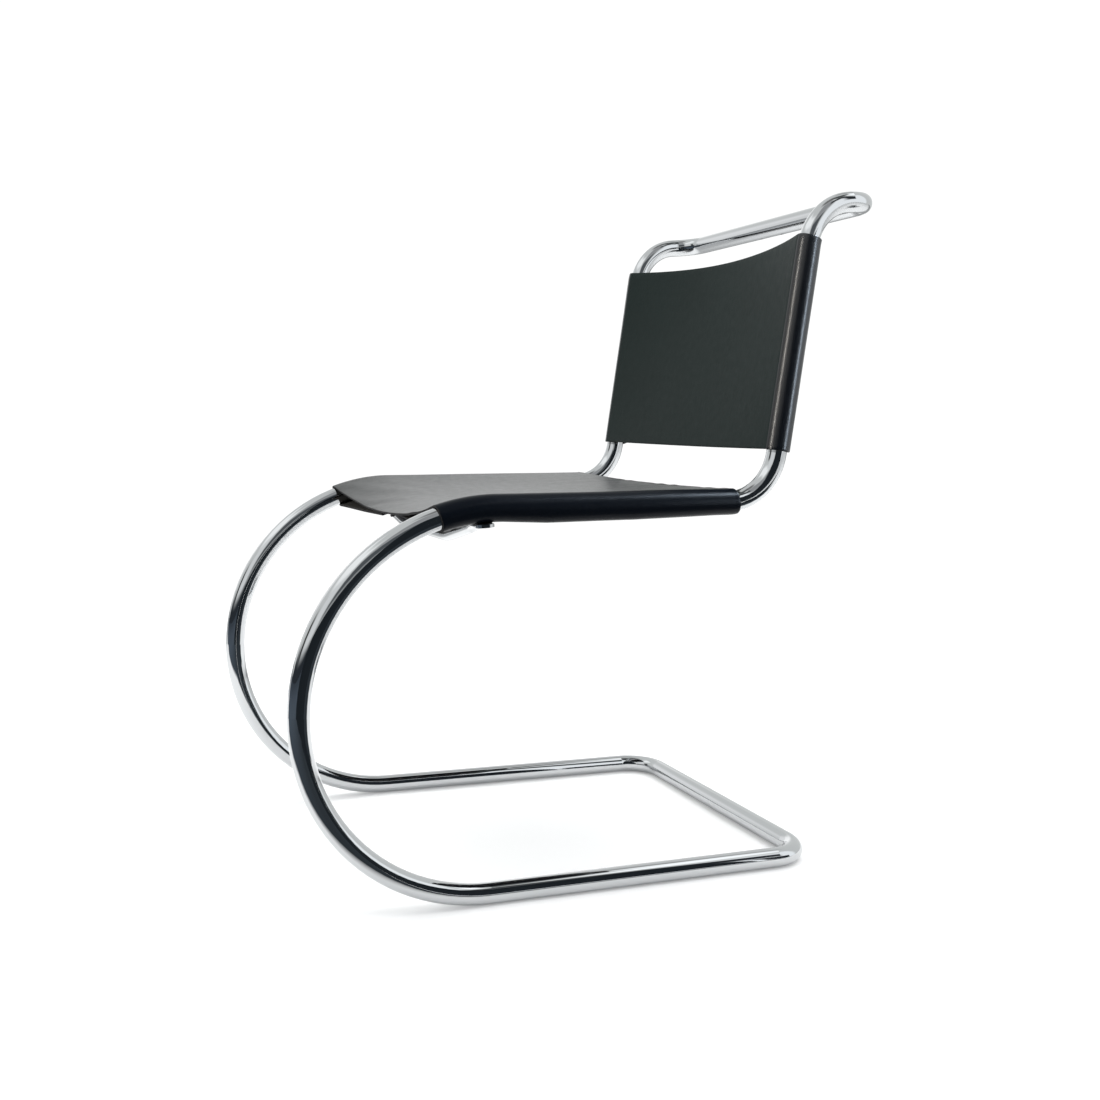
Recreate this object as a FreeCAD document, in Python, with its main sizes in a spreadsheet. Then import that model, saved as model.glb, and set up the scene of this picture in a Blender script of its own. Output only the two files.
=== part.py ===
import FreeCAD, Part
import Sketcher
import math
import os
from FreeCAD import Placement, Rotation, Vector

# Cantilever side chair: two bent tubes, a bowed cross brace and two laced leather slings.
# Millimetres, +Z up, the sitter faces -Y, the origin is on the floor under the middle of the outline.

SIZES = [
    # frame tube
    ("tube_diameter", 24.0),
    ("tube_wall", 2.0),
    ("frame_width", 464.0),
    ("base_rail_length", 369.0),
    ("base_corner_radius", 46.0),
    ("lower_arc_radius", 211.0),
    ("upper_arc_radius", 214.0),
    ("seat_slope_angle", 1.5),
    ("seat_rail_length", 284.0),
    ("rear_bend_radius", 65.0),
    ("back_recline_angle", 7.1),
    ("upright_length", 243.0),
    ("top_bend_radius", 62.0),
    ("top_rise_angle", 6.0),
    ("top_corner_radius", 34.0),
    # joints of the two frame halves
    ("spigot_length", 90.0),
    ("spigot_wall", 3.0),
    ("spigot_clearance", 0.05),
    ("set_screw_diameter", 5.0),
    ("set_screw_length", 4.6),
    ("set_screw_spacing", 50.0),
    ("set_screw_socket", 2.5),
    ("set_screw_recess", 0.4),
    ("thread_clearance", 0.05),
    # leather
    ("leather_thickness", 2.8),
    ("leather_clearance", 0.3),
    ("seat_front_overhang", 70.0),
    ("seat_rear_overhang", 9.0),
    ("seat_sag_front", 22.0),
    ("seat_sag_rear", 4.0),
    ("seat_flap_droop", 1.2),
    ("back_bottom_offset", 3.0),
    ("back_top_overhang", 9.0),
    ("back_sag_bottom", 8.0),
    ("back_sag_top", 31.0),
    ("back_flap_droop_bottom", 5.0),
    ("back_flap_droop_top", 13.0),
    ("flap_gap", 50.0),
    # eyelets and lacing
    ("eyelet_edge_distance", 12.0),
    ("eyelet_bore", 5.6),
    ("eyelet_wall", 0.5),
    ("eyelet_flange", 1.8),
    ("eyelet_flange_thickness", 0.6),
    ("eyelet_clearance", 0.14),
    ("seat_eyelet_pitch", 32.0),
    ("back_eyelet_pitch", 30.0),
    ("lace_diameter", 2.5),
    ("lace_gap", 0.3),
    ("lace_knot_diameter", 7.0),
    # cross brace
    ("brace_diameter", 12.0),
    ("brace_setback", 14.5),
    ("brace_drop", 41.5),
    ("brace_bend_inset", 132.0),
    ("brace_bend_radius", 160.0),
    ("tongue_length", 15.0),
    ("tongue_taper", 27.0),
    ("tongue_width", 22.0),
    ("tongue_thickness", 3.5),
    ("washer_diameter", 18.0),
    ("washer_thickness", 1.0),
    ("brace_screw_diameter", 6.0),
    ("brace_screw_head", 12.0),
    ("brace_screw_reach", 7.0),
    ("brace_screw_socket", 4.0),
    ("screw_hole_clearance", 0.25),
    ("bush_diameter", 11.0),
    ("bush_height", 8.0),
]

doc = FreeCAD.newDocument("cantilever_chair")
sheet = doc.addObject("Spreadsheet::Sheet", "Sizes")
for row, (alias, value) in enumerate(SIZES, start=1):
    sheet.set("A%d" % row, alias)
    sheet.set("B%d" % row, str(value))
    sheet.setAlias("B%d" % row, alias)
doc.recompute()


def size(alias):
    return float(sheet.get(alias))


nodes = {}


def keep(node, obj):
    """Gives a finished sub-part its label and puts it on the list of nodes to write."""
    obj.Label = node
    nodes[node] = obj
    return obj


def feature(name, shape, placement=Placement()):
    obj = doc.addObject("Part::Feature", name)
    obj.Shape = shape
    obj.Placement = placement
    return obj


def cylinder(name, radius, height, placement):
    obj = doc.addObject("Part::Cylinder", name)
    obj.setExpression("Radius", radius)
    obj.setExpression("Height", height)
    obj.Placement = placement
    return obj


def cut(name, base, tool):
    obj = doc.addObject("Part::Cut", name)
    obj.Base = base
    obj.Tool = tool
    return obj


def compound(name, links):
    obj = doc.addObject("Part::Compound", name)
    obj.Links = links
    return obj


# Side profile of one rail: straight and bent runs, each a length and a turn of its heading.
# A heading is in degrees from +Y, turning towards +Z.

half_width = (size("frame_width") - size("tube_diameter")) / 2
tube_radius = size("tube_diameter") / 2
bore_radius = tube_radius - size("tube_wall")


def arc_length(radius, turn):
    return radius * math.radians(abs(turn))


upright_heading = 90 - size("back_recline_angle")
RUNS = [
    ("base_rail", size("base_rail_length"), 0.0),
    ("lower_arc", arc_length(size("lower_arc_radius"), 90), -90.0),
    ("upper_arc", arc_length(size("upper_arc_radius"), 90 - size("seat_slope_angle")), size("seat_slope_angle") - 90),
    ("seat_rail", size("seat_rail_length"), 0.0),
    ("rear_bend", arc_length(size("rear_bend_radius"), upright_heading - size("seat_slope_angle")),
     upright_heading - size("seat_slope_angle")),
    ("upright", size("upright_length"), 0.0),
    ("top_bend", arc_length(size("top_bend_radius"), upright_heading - size("top_rise_angle")),
     size("top_rise_angle") - upright_heading),
]


def step(y, z, heading, length, turn, share):
    """Point and heading after a share of one run that starts at y, z with this heading."""
    angle = math.radians(heading)
    if turn == 0.0:
        return y + share * length * math.cos(angle), z + share * length * math.sin(angle), heading
    radius = length / math.radians(turn)
    new = math.radians(heading + share * turn)
    y_new = y + radius * (math.sin(new) - math.sin(angle))
    z_new = z - radius * (math.cos(new) - math.cos(angle))
    return y_new, z_new, heading + share * turn


def lay_profile(y_start):
    """Every run with the y, z and heading of its start, from the base's rear corner to the top corner."""
    laid = {}
    y, z, heading = y_start, tube_radius, 180.0
    for name, length, turn in RUNS:
        laid[name] = (y, z, heading, length, turn)
        y, z, heading = step(y, z, heading, length, turn, 1.0)
    laid["end"] = (y, z, heading, 0.0, 0.0)
    return laid


def on_run(profile, name, distance):
    """Point and heading at a distance along a named run."""
    y, z, heading, length, turn = profile[name]
    return step(y, z, heading, length, turn, distance / length)


# The outline from the front of the arcs to the farther of the two crossbars is centred on the origin.
trial = lay_profile(0.0)
front_y = on_run(trial, "upper_arc", 0.0)[0] - tube_radius
top_bar_y = trial["end"][0] + size("top_corner_radius") * math.cos(math.radians(size("top_rise_angle")))
rear_y = max(top_bar_y, size("base_corner_radius")) + tube_radius
profile = lay_profile(-(front_y + rear_y) / 2)
base_start_y = profile["base_rail"][0]
base_bar_y = base_start_y + size("base_corner_radius")


# Frame: one bent tube for each side, meeting its twin in the middle of both crossbars.

def three_point_arc(start, middle, end):
    return Part.Arc(start, middle, end).toShape()


def side_edge(name):
    """One run of the side profile as an edge in the plane of the left rail."""
    length = profile[name][3]
    points = []
    for share in (0.0, 0.5, 1.0):
        y, z, heading = on_run(profile, name, share * length)
        points.append(Vector(half_width, y, z))
    if profile[name][4] == 0.0:
        return Part.LineSegment(points[0], points[2]).toShape()
    return three_point_arc(*points)


def corner_edge(y, z, rise, radius):
    """Quarter bend from the side plane into a crossbar, in a plane that rises towards the rear."""
    rearward = Vector(0, math.cos(math.radians(rise)), math.sin(math.radians(rise)))
    sideways = Vector(1, 0, 0)
    centre = Vector(half_width - radius, y, z)
    diagonal = radius * math.sqrt(0.5)
    return three_point_arc(
        centre + sideways * radius,
        centre + sideways * diagonal + rearward * diagonal,
        centre + rearward * radius,
    )


def frame_spine():
    base_corner = corner_edge(base_start_y, tube_radius, 0.0, size("base_corner_radius"))
    top_y, top_z, top_heading = profile["end"][:3]
    top_corner = corner_edge(top_y, top_z, top_heading, size("top_corner_radius"))
    base_point = base_corner.Vertexes[-1].Point
    top_point = top_corner.Vertexes[-1].Point
    edges = [Part.LineSegment(Vector(0, base_point.y, base_point.z), base_point).toShape(), base_corner]
    for name, length, turn in RUNS:
        edges.append(side_edge(name))
    edges.append(top_corner)
    edges.append(Part.LineSegment(top_point, Vector(0, top_point.y, top_point.z)).toShape())
    return Part.Wire(edges), Vector(0, top_point.y, top_point.z)


spine_wire, top_joint = frame_spine()
base_joint = Vector(0, base_bar_y, tube_radius)
spine = feature("frame_spine", spine_wire)
along_x = Rotation(Vector(0, 0, 1), Vector(1, 0, 0))


def tube_sweep(name, radius):
    """Solid of one radius along the whole spine, started at the middle of the base crossbar."""
    ring = doc.addObject("Part::Circle", name + "_section")
    ring.setExpression("Radius", radius)
    ring.Placement = Placement(base_joint, along_x)
    sweep = doc.addObject("Part::Sweep", name)
    sweep.Sections = [ring]
    sweep.Spine = (spine, ["Edge%d" % (i + 1) for i in range(len(spine_wire.Edges))])
    sweep.Solid = True
    sweep.Frenet = False
    return sweep


outer = tube_sweep("frame_outside", "Sizes.tube_diameter / 2")
inner = tube_sweep("frame_bore", "Sizes.tube_diameter / 2 - Sizes.tube_wall")
bare_tube = cut("frame_bent_tube", outer, inner)

# The brace hangs under the end of the upper arc, square to the tube there.
upper_length = profile["upper_arc"][3]
brace_run = size("brace_setback")
brace_y, brace_z, brace_heading = on_run(profile, "upper_arc", upper_length - brace_run)
brace_tilt = Rotation(Vector(1, 0, 0), brace_heading)
brace_frame = Placement(Vector(0, brace_y, brace_z), brace_tilt)


def at_brace(x, z, rotation=Rotation()):
    """Placement under the left rail's centre line, in the brace's own tilted plane."""
    return brace_frame.multiply(Placement(Vector(x, 0, z), rotation))


# Set screws go in from the hidden side of each crossbar: below at the base, and the top one's underside.
screw_offset = size("set_screw_spacing") / 2
screw_hole = "Sizes.set_screw_diameter / 2 + Sizes.thread_clearance"
frame_holes = []
for place, joint in (("base", base_joint), ("top", top_joint)):
    hole = cylinder(place + "_screw_hole", screw_hole, "Sizes.tube_diameter / 2",
                    Placement(joint + Vector(screw_offset, 0, -tube_radius), Rotation()))
    frame_holes.append(hole)
frame_holes.append(cylinder("brace_screw_hole", "Sizes.brace_screw_diameter / 2 + Sizes.screw_hole_clearance",
                            "Sizes.tube_diameter / 2", at_brace(half_width, -tube_radius - size("tube_wall") / 2)))
left_tube = keep("frame_tube_left", cut("frame_tube_left", bare_tube, compound("frame_holes", frame_holes)))
right_tube = doc.addObject("Part::Mirroring", "frame_tube_right")
right_tube.Source = left_tube
right_tube.Base = Vector(0, 0, 0)
right_tube.Normal = Vector(1, 0, 0)
keep("frame_tube_right", right_tube)


# Spigots: short sleeves inside both crossbars that carry the frame across its two butt joints.

def origin_plane(body, role):
    return [plane for plane in body.Origin.OriginFeatures if plane.Role == role][0]


def sketch_on(body, name, role):
    sketch = body.newObject("Sketcher::SketchObject", name)
    sketch.AttachmentSupport = [(origin_plane(body, role), "")]
    sketch.MapMode = "FlatFace"
    return sketch


def circle_on(sketch, x, y, radius_expression):
    """Circle whose radius follows an expression, its centre held at x, y."""
    index = sketch.addGeometry(Part.Circle(Vector(x, y, 0), Vector(0, 0, 1), 1.0), False)
    number = sketch.addConstraint(Sketcher.Constraint("Radius", index, 1.0))
    sketch.setExpression("Constraints[%d]" % number, radius_expression)
    if x == 0 and y == 0:
        sketch.addConstraint(Sketcher.Constraint("Coincident", index, 3, -1, 1))
    return index


def spigot(name, joint):
    body = doc.addObject("PartDesign::Body", name)
    section = sketch_on(body, name + "_section", "YZ_Plane")
    outside = "Sizes.tube_diameter / 2 - Sizes.tube_wall - Sizes.spigot_clearance"
    circle_on(section, 0, 0, outside)
    circle_on(section, 0, 0, outside + " - Sizes.spigot_wall")
    pad = body.newObject("PartDesign::Pad", name + "_pad")
    pad.Profile = section
    pad.setExpression("Length", "Sizes.spigot_length")
    pad.Midplane = True
    doc.recompute()
    before = pad.Shape.Volume
    holes = sketch_on(body, name + "_thread_sketch", "XY_Plane")
    for side in (-1, 1):
        circle_on(holes, side * screw_offset, 0, screw_hole)
    pocket = body.newObject("PartDesign::Pocket", name + "_threads")
    pocket.Profile = holes
    pocket.Type = 1
    pocket.Reversed = False
    doc.recompute()
    if abs(pocket.Shape.Volume - before) < 1.0:
        raise ValueError("the threads of %s cut nothing" % name)
    body.Placement = Placement(joint, Rotation())
    return keep(name, body)


spigot("base_joint_spigot", base_joint)
spigot("top_joint_spigot", top_joint)


def hex_prism(name, across, height, placement):
    """Hexagonal socket, its size given across the flats."""
    obj = doc.addObject("Part::Prism", name)
    obj.Polygon = 6
    obj.setExpression("Circumradius", across + " / 2 / cos(30)")
    obj.setExpression("Height", height)
    obj.Placement = placement
    return obj


def set_screw_pair(name, joint):
    """Two socket set screws, flush inside the tube wall, with their points in the spigot's threads."""
    screws = []
    for index, side in enumerate((-1, 1)):
        foot = joint + Vector(side * screw_offset, 0, -tube_radius + size("set_screw_recess"))
        body = cylinder("%s_shank_%d" % (name, index), "Sizes.set_screw_diameter / 2", "Sizes.set_screw_length",
                        Placement(foot, Rotation()))
        socket = hex_prism("%s_socket_%d" % (name, index), "Sizes.set_screw_socket",
                           "Sizes.set_screw_length / 2", Placement(foot, Rotation()))
        screws.append(cut("%s_%d" % (name, index), body, socket))
    return keep(name, compound(name, screws))


set_screw_pair("base_joint_screws", base_joint)
set_screw_pair("top_joint_screws", top_joint)


# Leather: each sling is one sheet that wraps both rails and returns behind as two laced flaps.

inner_radius = tube_radius + size("leather_clearance")
outer_radius = inner_radius + size("leather_thickness")
flap_edge = size("flap_gap") / 2


def end_angle(depth):
    """Angle at which a sheet leaves the rail when its middle hangs this deep between the rails."""
    return 2 * math.atan(depth / half_width)


def hang(x, radius, angle, face):
    """Height of a hung surface at x: face 1 is the panel over the rails, -1 the flaps under them."""
    reach = half_width - face * radius * math.sin(angle)
    centre = face * radius * math.cos(angle) + reach / math.tan(angle)
    return centre - math.sqrt((reach / math.sin(angle)) ** 2 - x ** 2)


def wrap_point(side, radius, angle):
    """Point on the wrap round one rail; the angle is 0 on the outer side and 90 degrees over the rail."""
    return Vector(side * (half_width + radius * math.cos(angle)), radius * math.sin(angle), 0)


def backwards(runs):
    return [run[::-1] for run in runs[::-1]]


def sling_section(sag, droop):
    """Closed outline of a sling in its own plane: panel, both sleeves and both flaps."""
    panel = end_angle(sag)
    flap = end_angle(droop)
    top = math.pi / 2 + panel
    under = flap - math.pi / 2

    def across(radius):
        return [wrap_point(-1, radius, top), Vector(0, hang(0, radius, panel, 1), 0), wrap_point(1, radius, top)]

    def sleeve_and_flap(side, radius):
        over = [wrap_point(side, radius, angle) for angle in (top, top / 2, 0.0)]
        below = [wrap_point(side, radius, angle) for angle in (0.0, under / 2, under)]
        returned = [below[2]]
        for x in ((half_width + flap_edge) / 2, flap_edge):
            returned.append(Vector(side * x, hang(x, radius, flap, -1), 0))
        return [over, below, returned]

    runs = [across(outer_radius)]
    for side, first, second in ((1, outer_radius, inner_radius), (-1, inner_radius, outer_radius)):
        out = sleeve_and_flap(side, first)
        home = backwards(sleeve_and_flap(side, second))
        runs += out + [[out[-1][-1], home[0][0]]] + home
        if side == 1:
            runs.append(across(inner_radius)[::-1])
    edges = []
    for run in runs:
        if len(run) == 2:
            edges.append(Part.LineSegment(*run).toShape())
        else:
            edges.append(three_point_arc(*run))
    return Part.Wire(edges)


def along(name, distance):
    """Point and heading at a distance from the start of a named run, also before it or past its end."""
    names = [run[0] for run in RUNS]
    index = names.index(name)
    if distance < 0:
        return along(names[index - 1], distance + profile[names[index - 1]][3])
    if distance > profile[name][3] and index + 1 < len(names):
        return along(names[index + 1], distance - profile[name][3])
    return on_run(profile, name, distance)


def station(name, distance):
    """Plane square to the rail: X across the chair, Y towards the sitter, Z back along the rail."""
    y, z, heading = along(name, distance)
    return Placement(Vector(0, y, z), Rotation(Vector(1, 0, 0), heading + 90))


class Sling:
    """A leather sheet on both rails: where it starts and ends along a run, and how deep it hangs."""

    def __init__(self, run, start, end, sags, droops):
        self.run = run
        self.start = start
        self.end = end
        self.sags = sags
        self.droops = droops

    def share(self, distance):
        return (distance - self.start) / (self.end - self.start)

    def sag(self, distance):
        return self.sags[0] + self.share(distance) * (self.sags[1] - self.sags[0])

    def droop(self, distance):
        return self.droops[0] + self.share(distance) * (self.droops[1] - self.droops[0])

    def sheet(self, stops):
        """Solid through the outline at every stop along the rails."""
        sections = []
        for distance in stops:
            section = sling_section(self.sag(distance), self.droop(distance))
            section.Placement = station(self.run, distance)
            sections.append(section)
        return Part.makeLoft(sections, True, True)

    def eyelet_stops(self, pitch):
        """Evenly spaced places along the flaps, as many as fit between the eyelet's edge distances."""
        length = self.end - self.start
        count = int((length - 2 * size("eyelet_edge_distance")) / pitch) + 1
        first = self.start + (length - (count - 1) * pitch) / 2
        return [first + index * pitch for index in range(count)]

    def flap_point(self, distance, x):
        """Point in the middle of a flap's thickness."""
        middle_radius = (inner_radius + outer_radius) / 2
        height = hang(x, middle_radius, end_angle(self.droop(distance)), -1)
        return station(self.run, distance).multVec(Vector(x, height, 0))

    def eyelet_place(self, distance, side):
        """On the flap at an eyelet: X across the chair, Z through the leather towards the sitter."""
        x = side * (flap_edge + size("eyelet_edge_distance"))
        across = self.flap_point(distance, x + 1) - self.flap_point(distance, x - 1)
        onward = self.flap_point(distance + 1, x) - self.flap_point(distance - 1, x)
        return Placement(self.flap_point(distance, x), Rotation(across, Vector(), across.cross(onward), "ZXY"))


def even_stops(first, last, spans):
    return [first + (last - first) * index / spans for index in range(spans + 1)]


rail_length = size("seat_rail_length")
upright_length = size("upright_length")
seat_end = rail_length + size("seat_rear_overhang")
back_end = upright_length + size("back_top_overhang")
seat = Sling("seat_rail", -size("seat_front_overhang"), seat_end,
             (size("seat_sag_front"), size("seat_sag_rear")),
             (size("seat_flap_droop"), size("seat_flap_droop")))
back = Sling("upright", size("back_bottom_offset"), back_end,
             (size("back_sag_bottom"), size("back_sag_top")),
             (size("back_flap_droop_bottom"), size("back_flap_droop_top")))
seat_stops = even_stops(seat.start, 0, 8)[:-1] + even_stops(0, rail_length, 4)[:-1]
seat_stops += even_stops(rail_length, seat_end, 3)
back_stops = even_stops(back.start, upright_length, 4)[:-1] + even_stops(upright_length, back_end, 2)


def eyelet_template():
    """One rolled metal eyelet, its barrel through the leather and a flange on each face."""
    bore = size("eyelet_bore") / 2
    barrel = bore + size("eyelet_wall")
    flange = barrel + size("eyelet_flange")
    low = size("leather_thickness") / 2 + size("eyelet_clearance")
    high = low + size("eyelet_flange_thickness")
    corners = [(bore, -high), (flange, -high), (flange, -low), (barrel, -low),
               (barrel, low), (flange, low), (flange, high), (bore, high)]
    body = doc.addObject("PartDesign::Body", "eyelet")
    section = sketch_on(body, "eyelet_section", "XZ_Plane")
    for (x1, z1), (x2, z2) in zip(corners, corners[1:] + corners[:1]):
        section.addGeometry(Part.LineSegment(Vector(x1, z1, 0), Vector(x2, z2, 0)), False)
    for index in range(len(corners)):
        joined = Sketcher.Constraint("Coincident", index, 2, (index + 1) % len(corners), 1)
        section.addConstraint(joined)
    turned = body.newObject("PartDesign::Revolution", "eyelet_turned")
    turned.Profile = section
    turned.ReferenceAxis = (section, ["V_Axis"])
    turned.Angle = 360
    doc.recompute()
    return body


def eyelet_row(name, template, places):
    copies = []
    for place in places:
        copy = template.Shape.copy()
        copy.Placement = place
        copies.append(copy)
    return keep(name, feature(name, Part.makeCompound(copies)))


def round_corners(points, radius):
    """Straight runs through the points, joined by tangent arcs of one radius."""
    edges = []
    last = points[0]
    for before, corner, after in zip(points, points[1:], points[2:]):
        back_way = (before - corner).normalize()
        on_way = (after - corner).normalize()
        turn = math.pi - back_way.getAngle(on_way)
        setback = radius * math.tan(turn / 2)
        start = corner + back_way * setback
        end = corner + on_way * setback
        inward = (back_way + on_way).normalize()
        middle = corner + inward * (radius / math.cos(turn / 2) - radius)
        edges.append(Part.LineSegment(last, start).toShape())
        edges.append(three_point_arc(start, middle, end))
        last = end
    edges.append(Part.LineSegment(last, points[-1]).toShape())
    return Part.Wire(edges)


def tube_along(wire, radius):
    """Round solid along a wire of tangent edges."""
    start = wire.Edges[0]
    direction = start.tangentAt(start.FirstParameter)
    ring = Part.Wire(Part.makeCircle(radius, start.valueAt(start.FirstParameter), direction))
    return wire.makePipeShell([ring], True, False)


def lacing(name, sling, stops):
    """One cord from knot to knot: up a left eyelet, across inside, down the right one and on outside."""
    radius = size("lace_diameter") / 2
    face = size("leather_thickness") / 2 + size("eyelet_clearance") + size("eyelet_flange_thickness")
    level = face + size("lace_gap") + radius
    knot_radius = size("lace_knot_diameter") / 2
    knot_level = level - radius + knot_radius

    def point(distance, side, height):
        return sling.eyelet_place(distance, side).multVec(Vector(0, 0, height))

    points = [point(stops[0], -1, -knot_level)]
    for index, distance in enumerate(stops):
        if index > 0:
            points.append(point(distance, -1, -level))
        points += [point(distance, -1, level), point(distance, 1, level)]
        if index < len(stops) - 1:
            points.append(point(distance, 1, -level))
    points.append(point(stops[-1], 1, -knot_level))
    route = round_corners(points, level - size("thread_clearance"))
    cord = tube_along(route, radius)
    if abs(cord.Volume / (route.Length * math.pi * radius ** 2) - 1) > 0.01:
        raise ValueError("%s is not a full cord" % name)
    knots = [Part.makeSphere(knot_radius, points[0]), Part.makeSphere(knot_radius, points[-1])]
    return keep(name, feature(name, cord.fuse(knots)))


eyelet = eyelet_template()
eyelet_hole = size("eyelet_bore") / 2 + size("eyelet_wall") + size("eyelet_clearance")
for place, sling, stops, pitch in (("seat", seat, seat_stops, size("seat_eyelet_pitch")),
                                   ("back", back, back_stops, size("back_eyelet_pitch"))):
    sheet_shape = sling.sheet(stops)
    laced = sling.eyelet_stops(pitch)
    punches = []
    for side, side_name in ((1, "left"), (-1, "right")):
        places = [sling.eyelet_place(distance, side) for distance in laced]
        eyelet_row("%s_eyelets_%s" % (place, side_name), eyelet, places)
        for spot in places:
            deep = size("leather_thickness")
            punch = Part.makeCylinder(eyelet_hole, 2 * deep, Vector(0, 0, -deep))
            punch.Placement = spot
            punches.append(punch)
    if place == "seat":
        for side in (-1, 1):
            reach = Part.makeCylinder(size("brace_screw_diameter") / 2 + size("screw_hole_clearance"),
                                      2 * tube_radius - bore_radius, Vector(0, 0, -2 * tube_radius))
            reach.Placement = at_brace(side * half_width, 0)
            punches.append(reach)
    keep("%s_sling" % place, feature("%s_sling" % place, sheet_shape.cut(punches)))
    lacing("%s_lacing" % place, sling, laced)


# Cross brace: a bowed round bar with flattened ends, screwed up into the rails through the leather.

washer_radius = size("washer_diameter") / 2
brace_droop_angle = end_angle(seat.droop(-brace_run))
washer_top = hang(half_width - washer_radius, outer_radius, brace_droop_angle, -1) - size("leather_clearance")
tongue_top = washer_top - size("washer_thickness")
tongue_foot = tongue_top - size("tongue_thickness")
tongue_middle = (tongue_top + tongue_foot) / 2
tongue_half = size("tongue_width") / 2
brace_middle = -size("brace_drop")
tongue_start = half_width - size("tongue_length")
brace_flat_half = half_width - size("brace_bend_inset")
slope_run = tongue_start - brace_flat_half
slope = (tongue_middle - brace_middle) / slope_run
taper_x = tongue_start - size("tongue_taper")
taper_z = tongue_middle - slope * size("tongue_taper")


def tongue_section():
    """Flattened bar section where the tongue starts: straight top and bottom, half-round sides."""
    straight = (size("tongue_width") - size("tongue_thickness")) / 2
    x = tongue_start
    high = tongue_top
    low = tongue_foot
    return Part.Wire([
        Part.LineSegment(Vector(x, -straight, high), Vector(x, straight, high)).toShape(),
        three_point_arc(Vector(x, straight, high), Vector(x, tongue_half, tongue_middle), Vector(x, straight, low)),
        Part.LineSegment(Vector(x, straight, low), Vector(x, -straight, low)).toShape(),
        three_point_arc(Vector(x, -straight, low), Vector(x, -tongue_half, tongue_middle),
                        Vector(x, -straight, high)),
    ])


def brace_end():
    """Left end of the brace: the taper from round to flat, and the tongue with its countersunk hole."""
    ring = Part.Wire(Part.makeCircle(size("brace_diameter") / 2, Vector(taper_x, 0, taper_z), Vector(1, 0, slope)))
    taper = Part.makeLoft([ring, tongue_section()], True, False)
    tongue = Part.Face(tongue_section()).extrude(Vector(half_width + tongue_half - tongue_start, 0, 0))
    thickness = size("tongue_thickness")
    square_part = Part.makeBox(half_width - tongue_start, 2 * tongue_half, thickness,
                               Vector(tongue_start, -tongue_half, tongue_foot))
    round_part = Part.makeCylinder(tongue_half, thickness, Vector(half_width, 0, tongue_foot))
    tongue = tongue.common(square_part.fuse(round_part))
    return taper.fuse(tongue).cut(screw_solid(half_width, size("screw_hole_clearance")))


def cross_brace():
    route = round_corners([
        Vector(-taper_x, 0, taper_z),
        Vector(-brace_flat_half, 0, brace_middle),
        Vector(brace_flat_half, 0, brace_middle),
        Vector(taper_x, 0, taper_z),
    ], size("brace_bend_radius"))
    end = brace_end()
    other_end = end.mirror(Vector(0, 0, 0), Vector(1, 0, 0))
    return tube_along(route, size("brace_diameter") / 2).fuse([end, other_end]).removeSplitter()


def screw_solid(x, clearance):
    """Countersunk screw standing on the underside of the tongue, or its hole with a clearance."""
    shank = size("brace_screw_diameter") / 2 + clearance
    head = size("brace_screw_head") / 2 + clearance
    tip = -bore_radius + size("brace_screw_reach")
    cone = Part.makeCone(head, shank, head - shank, Vector(x, 0, tongue_foot))
    return cone.fuse(Part.makeCylinder(shank, tip - tongue_foot, Vector(x, 0, tongue_foot)))


def brace_screw(x):
    corner_radius = size("brace_screw_socket") / math.sqrt(3)
    corners = []
    for number in range(7):
        angle = math.radians(60 * number)
        corners.append(Vector(x + corner_radius * math.cos(angle), corner_radius * math.sin(angle), tongue_foot))
    socket = Part.Face(Part.makePolygon(corners)).extrude(Vector(0, 0, size("tongue_thickness") / 2))
    return screw_solid(x, 0.0).cut(socket)


def brace_washer(x):
    disc = Part.makeCylinder(washer_radius, size("washer_thickness"), Vector(x, 0, tongue_top))
    bore = size("brace_screw_diameter") / 2 + size("screw_hole_clearance")
    return disc.cut(Part.makeCylinder(bore, size("washer_thickness"), Vector(x, 0, tongue_top)))


def thread_bush(x):
    """Round nut that rests on the bottom of the bore, its foot curved to the tube."""
    post = Part.makeCylinder(size("bush_diameter") / 2, size("bush_height") + bore_radius,
                             Vector(x, 0, -2 * bore_radius))
    bore = Part.makeCylinder(bore_radius - size("spigot_clearance"), 2 * size("bush_diameter"),
                             Vector(x, -size("bush_diameter"), 0), Vector(0, 1, 0))
    thread = size("brace_screw_diameter") / 2 + size("thread_clearance")
    return post.common(bore).cut(Part.makeCylinder(thread, 2 * bore_radius, Vector(x, 0, -2 * bore_radius)))


keep("cross_brace", feature("cross_brace", cross_brace(), brace_frame))
for node, maker in (("brace_screws", brace_screw), ("brace_washers", brace_washer),
                    ("brace_thread_bushes", thread_bush)):
    pair = Part.makeCompound([maker(half_width), maker(-half_width)])
    keep(node, feature(node, pair, brace_frame))

doc.recompute()
for obj in doc.Objects:
    if "Invalid" in obj.State or "Error" in obj.State:
        raise ValueError("%s did not compute" % obj.Name)
os.makedirs("parts", exist_ok=True)
for node, obj in nodes.items():
    shape = obj.Shape
    if shape.isNull() or not shape.isValid():
        raise ValueError("%s has no valid shape" % node)
    print("%-24s solids %2d  volume %9.0f" % (node, len(shape.Solids), shape.Volume))
    shape.exportStep("parts/%s.step" % node)
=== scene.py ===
import math
from collections import namedtuple
from itertools import accumulate

import bmesh
import bpy
from bpy.props import FloatProperty, FloatVectorProperty, PointerProperty
from mathutils import Matrix, Vector, noise


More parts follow.
